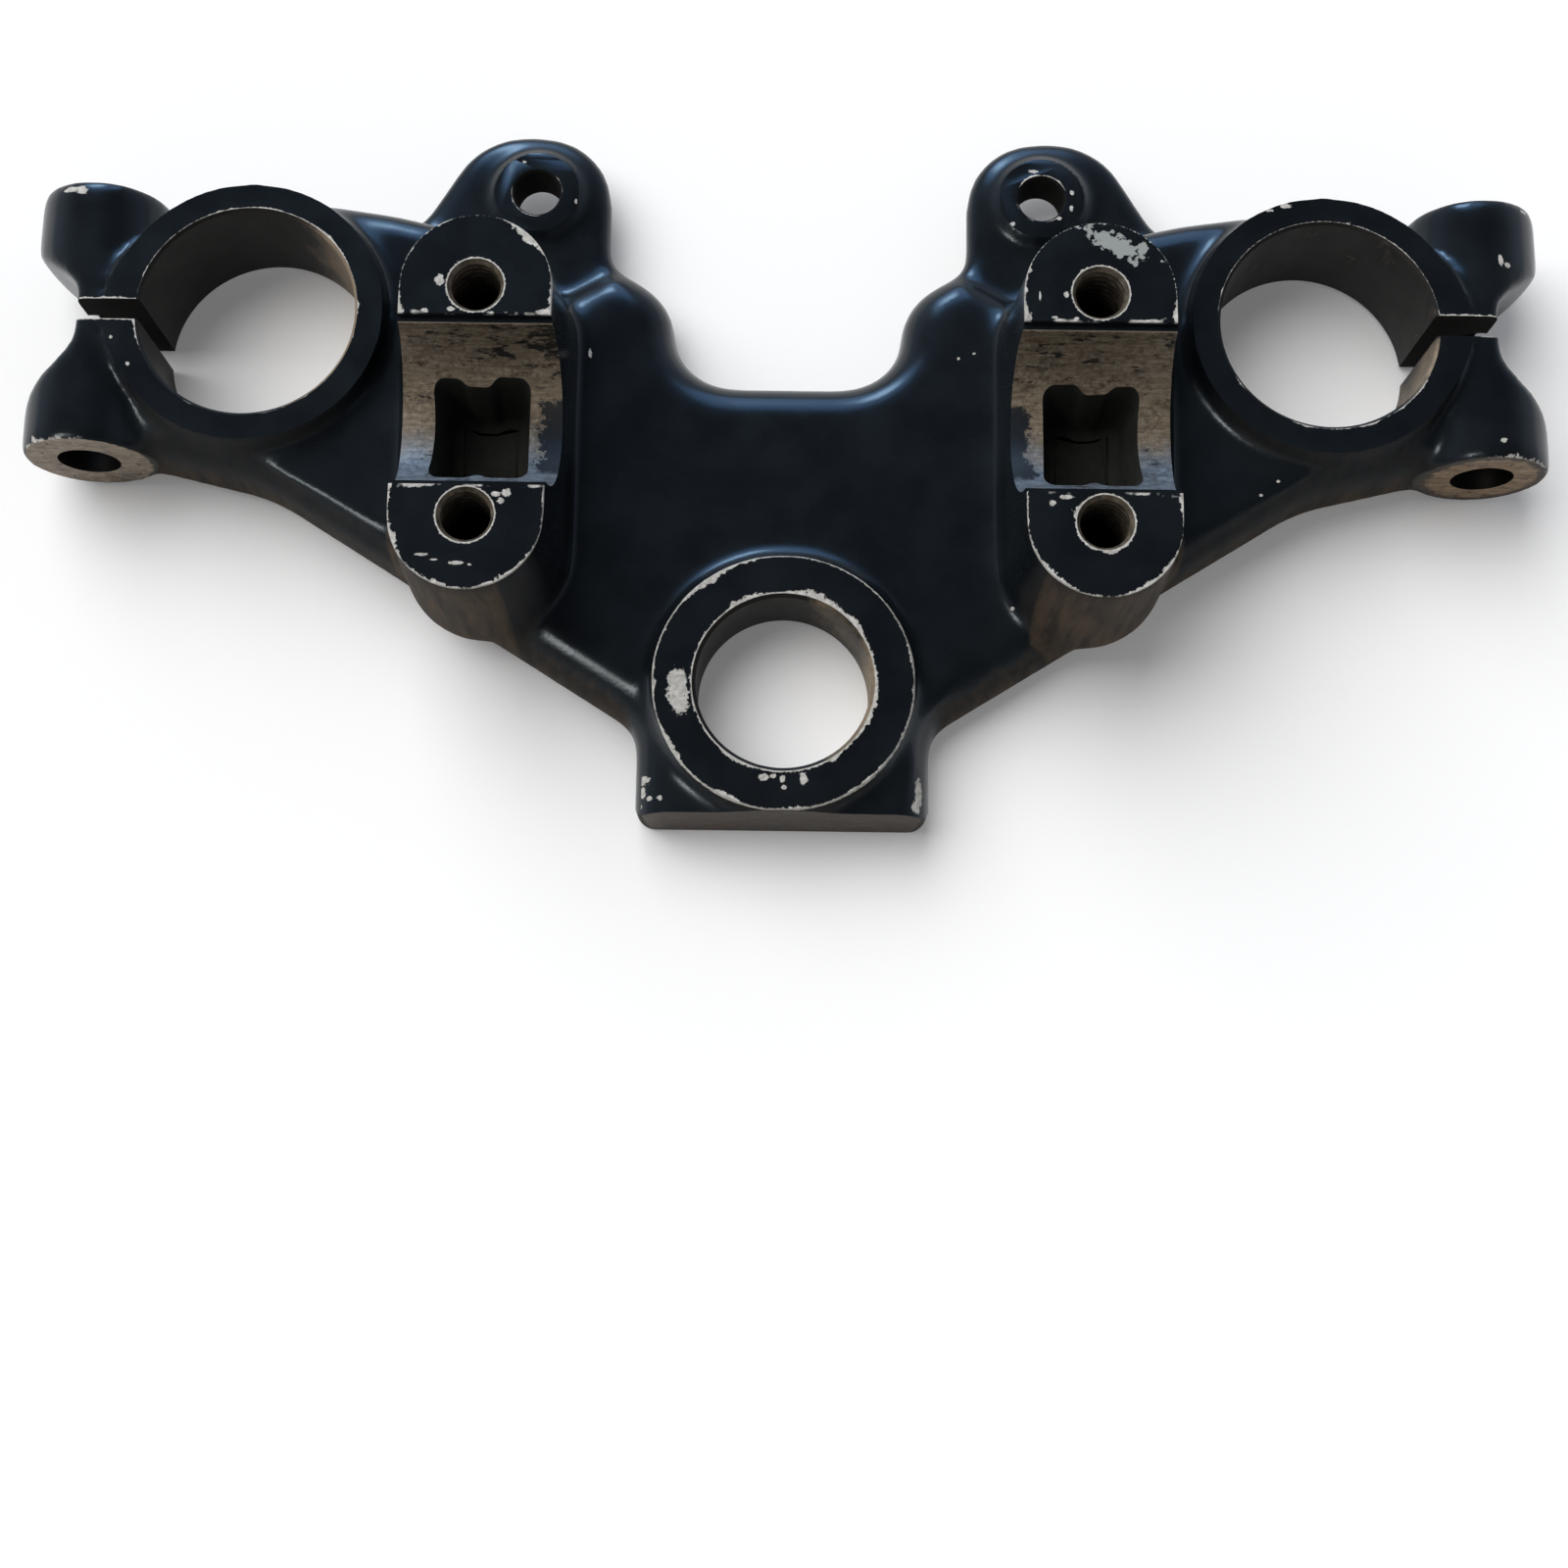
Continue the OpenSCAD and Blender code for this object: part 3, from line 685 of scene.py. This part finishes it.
def paint_material():
    """Gloss paint, worn through at the edges, with a painted brown reflection on the walls that face the
    rear.
    """
    n = Nodes("gloss_blue_black_paint")
    worn, scuffed = worn_paint(n), scuffed_patch(n)
    cloud, streak = n.noise(9, 3), n.noise(3, 4, 0.6, stretch=(0.6, 0.6, 4))
    # Painted reflection: the walls that face the rear are browned as if they mirrored a warm room behind,
    # more so low down and at the riser's rear ends
    rear = -n.facing(1)
    streaky_rear = rear + (streak - 0.5) * 0.3
    riser_gap = n.distance(n.side - RISER_X, (n.y - RISER_Y + BOLT_HALF).least(0))
    inner_end = (n.side + n.x.step(0, 1) * 3.2 - 36.9 + (streak - 0.5) * 0.6).step(0, 0.5)
    at_riser = (riser_gap + (cloud - 0.5) * 2).step(13.2, 12.6) * n.y.step(24, 20) * inner_end
    at_riser = at_riser * streaky_rear.step(0.1, 0.3)
    elsewhere = streaky_rear.step(0.5, 0.68) * (n.z.step(11, 2) * 0.7 + 0.15) * n.y.step(44, 38)
    rear_brown_reflection = at_riser.most(elsewhere) * (n.z.step(29, 26) * 0.4 + 0.6)
    colour = n.mix(cloud.step(0.35, 0.65), srgb(13, 16, 19), srgb(19, 23, 26))
    # The colours of the painted brown reflection on the walls that face the rear
    brown = n.mix(streak.step(0.35, 0.65), srgb(50, 42, 32), srgb(80, 66, 50))
    colour = n.mix(rear_brown_reflection * (cloud + 0.4).least(1), colour, brown)
    bare = n.mix(n.noise(0.7, 3, shift=(5, 1, 2)).step(0.3, 0.7), srgb(204, 202, 196), srgb(152, 148, 141))
    colour = n.mix(scuffed, n.mix(worn, colour, bare), srgb(144, 148, 144))
    dusty = rear.step(0.45, 0.75) * n.y.step(46, 40)
    rough = cloud * 0.14 + 0.14 + rear.step(0.1, 0.4) * 0.06 + dusty.most(rear_brown_reflection) * 0.6
    grain = n.noise(0.6, 3, 0.6) * (rear.step(0.1, 0.4) * 0.6 + 0.03)
    n.relief(n.noise(2.2, 1) * 0.12 + grain - worn - scuffed * 0.3, 0.05)
    n.shader.inputs["Specular Tint"].default_value = (0.7, 0.85, 1.0, 1.0)
    return n.finish(colour, rough.most(worn.most(scuffed) * 0.5), shine=0.28)


def bore_material():
    """Bare turned metal under old dark stains, with painted light that makes it paler where the light from
    the upper left falls:
    towards the right in the stem bore, on the inner side of the left fork bore, and behind the slit in the
    right one."""
    n = Nodes("stained_bore_metal")
    turning = n.noise(1.2, 4, 0.7, stretch=(14, 14, 0.35))
    stain = n.noise(7, 5, 0.65, stretch=(1, 1, 1.6))
    # Painted light and shade: the walls that face the light from the upper left are paler, and the rest of
    # the left fork bore is darker
    in_stem = n.distance(n.x, n.y).step(20, 18)
    on_left = (-n.x).step(0, 1)
    left_painted_light = ((FORK_X - 2 - n.side) * 0.09).step(0, 1) * on_left * 1.4 - on_left * 0.25
    right_painted_light = (FORK_Y - SLIT_HALF - n.y).step(0, 0.5) * (n.x - FORK_X - 8).step(0, 3) * 0.4
    pale = in_stem * (n.x * 0.07 - 0.15) + (1 - in_stem) * (left_painted_light + right_painted_light)
    # Real dark stains, made paler where the painted light falls
    bright = (stain + pale * 0.45 - 0.17).step(0.42, 0.72)
    colour = n.mix(bright, srgb(20, 19, 17), srgb(138, 122, 102))
    colour = n.mix(turning.step(0.5, 0.8) * bright * 0.4, colour, srgb(168, 160, 146))
    n.relief(turning, 0.03)
    return n.finish(colour, stain * 0.3 + 0.4, metal=bright * 0.3)


def seat_material():
    """The bare bar seat, with painted reflections: warm beige towards the front, where it faces the rear,
    and blue-grey behind, where it faces the front; with black stains, and with paint left over on its inner
    side."""
    n = Nodes("bar_seat_metal")
    tooling = n.noise(0.6, 5, 0.75, stretch=(6, 0.7, 0.7))
    cloud, grit = n.noise(4, 5, 0.65), n.noise(0.8, 4, 0.8, shift=(8, 3, 1))
    # Painted reflection: the front of the seat, facing the rear, is warm beige and the rear part, facing
    # the front, blue-grey; the paler tooling marks follow the same split
    front = (n.y - RISER_Y + (cloud - 0.5) * 9).step(-5, 1)
    colour = n.mix(front, srgb(72, 82, 94), srgb(104, 92, 76))
    light = tooling * 0.6 + grit * 0.4
    shiny = n.mix(front, srgb(150, 158, 166), srgb(178, 166, 146))
    colour = n.mix(light.step(0.46, 0.7) * 0.6, colour, shiny)
    colour = n.mix((grit * 0.5 + cloud * 0.5).step(0.5, 0.36) * 0.75, colour, srgb(50, 44, 37))
    streak = n.noise(1.2, 5, 0.7, stretch=(3, 1, 1), shift=(2, 9, 4))
    stained_side = (n.x + RISER_X).step(-5, 6) * (-n.x).step(0, 1) * 0.09
    ledge = (n.y - RISER_Y - 6.5).step(0, 4)
    black = (streak + ledge * (stained_side + 0.03)).step(0.59, 0.65)
    colour = n.mix(black, colour, srgb(24, 22, 20))
    inner = RISER_X - n.side + (n.noise(2.2, 5, 0.75) - 0.5) * 9 + (grit - 0.5) * 5
    left_over = inner.step(8.0, 8.2) * abs(n.y - RISER_Y + 1.3 + (grit - 0.5) * 3).step(5.8, 5.2)
    colour = n.mix(left_over, colour, srgb(15, 20, 26))
    lip = (n.z + (grit - 0.5) * 1.2 - 28.5).step(0, 0.2)
    colour = n.mix(lip, colour, srgb(176, 166, 148))
    n.relief(light - black * 0.6, 0.03)
    return n.finish(colour, tooling * 0.2 + 0.4, metal=(1 - left_over) * 0.15)


def face_material():
    """The scratched faces that the bolt heads and the rear stop rub on, dull except on the left lug."""
    n = Nodes("scuffed_bare_face")
    cloud, scratch = n.noise(3, 5, 0.7), n.noise(0.6, 5, 0.8, stretch=(5, 1, 1))
    cloudy = cloud.step(0.35, 0.65)
    dull = (n.x + 60).step(0, 20)
    colour = n.mix(cloudy, srgb(86, 74, 60), srgb(150, 136, 118))
    colour = n.mix(dull, colour, n.mix(cloudy, srgb(28, 22, 16), srgb(62, 48, 34)))
    colour = n.mix(scratch.step(0.5, 0.7) * (0.5 - dull * 0.38), colour, srgb(196, 186, 170))
    chips = n.noise(1.1, 5, 0.75, shift=(4, 4, 4))
    rim = n.distance(n.side - PINCH_X, n.z - PINCH_Z) * (n.side - 60).run("GREATER_THAN", 0)
    rubbed = dull * (rim - 3).step(0, 1) * (rim + chips * 3 - 8.6).step(0.6, 0)
    brown = n.mix(scratch.step(0.4, 0.65), srgb(104, 82, 58), srgb(168, 144, 112))
    colour = n.mix(rubbed * 0.8, colour, brown)
    painted = chips.step(0.6, 0.64).most((rim + chips * 2.4).step(9.7, 9.9))
    colour = n.mix(painted, colour, srgb(24, 23, 22))
    outer_top = (n.side - 94).step(0, 3) * (n.z - 10).step(0, 3)
    crest = (rim + chips * 1.5 - 9.2).step(0, 0.2) * outer_top * (chips - 0.42).step(0, 0.05)
    colour = n.mix(crest, colour, srgb(206, 200, 188))
    n.relief(scratch, 0.05)
    return n.finish(colour, cloud * 0.3 + 0.4)


def thread_material():
    """The walls of the tapped and drilled holes, with painted shade: black further down and darker in the
    grooves of the thread.
    """
    n = Nodes("oily_thread_metal")
    cloud = n.noise(1.4, 4, 0.7)
    groove = n.distance(n.side - RISER_X, abs(n.y - RISER_Y) - BOLT_HALF).step(3.42, 3.7)
    below_mouth = 1 - (n.z - RISER_H + 0.45).step(0, 0.1)
    colour = n.mix(cloud.step(0.35, 0.65), srgb(50, 44, 37), srgb(118, 108, 93))
    # Painted shade in the grooves of the thread
    colour = n.mix(groove * below_mouth, colour, srgb(30, 26, 22))
    # Painted shade: black further down the holes
    colour = n.mix((n.z - 19).step(0, 10.5), srgb(16, 14, 12), colour)
    return n.finish(colour, 0.4, metal=0.3, shine=0.5)


def recess_shade_and_light_material():
    """The inside of the windows, the slits and the ear holes: near-black painted shade in the slits and ear
    holes, and a painted lighter grey in the windows for the light that reaches their floors.
    """
    n = Nodes("pocket_painted_shade_and_light")
    cloud = n.noise(2.5, 5, 0.7)
    in_window = n.side.step(54, 52) * n.y.step(60, 55)
    # Painted shade: near-black inside the slits and ear holes
    colour = n.mix(cloud, srgb(8, 8, 8), srgb(20, 19, 17))
    # Painted light: the windows are a lighter grey, for the light on their floors
    colour = n.mix(in_window, colour, n.mix(cloud, srgb(20, 22, 21), srgb(46, 47, 43)))
    n.relief(n.noise(0.8, 4), 0.03)
    return n.finish(colour, 0.9, shine=0.2)


def floor_material():
    """Pale and matt, and nearly white to the camera and in reflections."""
    n = Nodes("pale_floor")
    path = n.add("ShaderNodeLightPath")
    seen = Value(n, path.outputs["Is Camera Ray"])
    for ray in ("Is Glossy Ray", "Is Transmission Ray"):
        seen = seen.most(Value(n, path.outputs[ray]))
    n.shader.inputs["Emission Color"].default_value = (1, 1, 1, 1)
    n.feed(n.shader.inputs["Emission Strength"], seen * 0.12)
    return n.finish((0.9, 0.9, 0.9, 1), 1.0, shine=0.0)


paint = paint_material()
bore_metal, seat_metal, bare_face = bore_material(), seat_material(), face_material()
thread_metal, recess_shade_and_light = thread_material(), recess_shade_and_light_material()

# Making the casting. The pockets and the waists are cast, so the skin is softened again after them

casting = cast_casting()
fuse(casting, FIRST_SMOOTHING)
cut(casting, pocket_cut, paint)
cut(casting, waist_cut, paint)
fuse(casting, LAST_SMOOTHING)
casting.data.polygons.foreach_set("material_index", [0] * len(casting.data.polygons))
casting.data.materials.clear()
for material in (paint, bore_metal, seat_metal, bare_face, thread_metal, recess_shade_and_light):
    casting.data.materials.append(material)

# Every cut in its turn, with the finish that it leaves, and whether it is mirrored to the left
for build, material, mirrored in (
    (under_cut, paint, False), (pad_rear_cut, bare_face, False), (pad_corner_cut, paint, True),
    (stem_face_cut, paint, False), (face_cut, paint, True), (ring_face_cut, paint, True),
    (lug_face_cut, bare_face, True), (seat_gap_cut, paint, True), (seat_cut, seat_metal, True),
    (window_cut, recess_shade_and_light, True), (slit_cut, recess_shade_and_light, True), (stem_bore_cut, bore_metal, False),
    (fork_bore_cut, bore_metal, True), (ear_hole_cut, recess_shade_and_light, True), (pinch_cut, thread_metal, True),
    (rear_bolt_cut, thread_metal, True), (front_bolt_cut, thread_metal, True),
):
    cut(casting, build, material, mirrored)
casting.data.polygons.foreach_set("use_smooth", [True] * len(casting.data.polygons))
casting.data.set_sharp_from_angle(angle=math.radians(35))

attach(casting, "root")
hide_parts("yoke_casting")

# The floor, the light and the camera

bm = bmesh.new()
bmesh.ops.create_grid(bm, x_segments=1, y_segments=1, size=FLOOR_HALF, matrix=at(0, 0, -FLOOR_DROP))
floor = make_object(bm, "floor", floor_material())

world = bpy.data.worlds.new("studio")
bpy.context.scene.world = world
world.use_nodes = True
sky = world.node_tree
direction = sky.nodes.new("ShaderNodeSeparateXYZ")
sky.links.new(sky.nodes.new("ShaderNodeTexCoord").outputs["Generated"], direction.inputs[0])


def blend(out, low, high, a, b):
    """A colour that turns from a to b as one part of the direction goes from low to high."""
    share = sky.nodes.new("ShaderNodeMapRange")
    sky.links.new(direction.outputs[out], share.inputs["Value"])
    share.inputs["From Min"].default_value, share.inputs["From Max"].default_value = low, high
    node = sky.nodes.new("ShaderNodeMix")
    node.data_type = "RGBA"
    sky.links.new(share.outputs[0], node.inputs[0])
    for socket, colour in ((node.inputs[6], a), (node.inputs[7], b)):
        if isinstance(colour, bpy.types.NodeSocket):
            sky.links.new(colour, socket)
        else:
            socket.default_value = colour
    return node.outputs[2]


# Pale walls, cooler in front of the yoke and warmer behind it, under a dim ceiling
walls = blend("Y", -0.5, 0.5, (0.42, 0.4, 0.37, 1), (0.6, 0.68, 0.8, 1))
sky.links.new(blend("Z", 0.3, 0.8, walls, (0.1, 0.1, 0.11, 1)), sky.nodes["Background"].inputs["Color"])


def add_sun(name, toward, strength, spread, colour, glossy):
    """A far soft lamp that shines from the direction toward, either in the gloss or on everything else."""
    light = bpy.data.lights.new(name, "SUN")
    light.energy, light.angle, light.color = strength, math.radians(spread), colour
    lamp = bpy.data.objects.new(name, light)
    lamp.rotation_euler = Vector(toward).to_track_quat("Z", "Y").to_euler()
    lamp.visible_glossy, lamp.visible_diffuse = glossy, not glossy
    bpy.context.scene.collection.objects.link(lamp)


add_sun("key_lamp", (-0.5, 0.5, 0.8), 3.22, 64, (1.0, 0.995, 0.985), glossy=False)
add_sun("front_lamp", (-0.2, 0.85, 0.48), 1.0, 16, (0.62, 0.82, 1.0), glossy=True)
add_sun("front_glow", (-0.1, 0.85, 0.5), 1.5, 42, (0.3, 0.58, 1.0), glossy=True)
add_sun("side_lamp", (-0.52, -0.3, 0.8), 1.25, 13, (1.0, 0.9, 0.78), glossy=True)

# The camera as it was fitted to the round edges in the photograph
lens = bpy.data.cameras.new("camera")
lens.lens, lens.sensor_width, lens.clip_start = 47.38, 36, 0.01
camera = bpy.data.objects.new("camera", lens)
camera.location = (-0.000124, -0.072341, 0.283928)
camera.rotation_euler = Euler([math.radians(a) for a in (12.043, -0.230, 0.690)])
bpy.context.scene.collection.objects.link(camera)
bpy.context.scene.camera = camera
bpy.context.scene.view_settings.view_transform = "Standard"
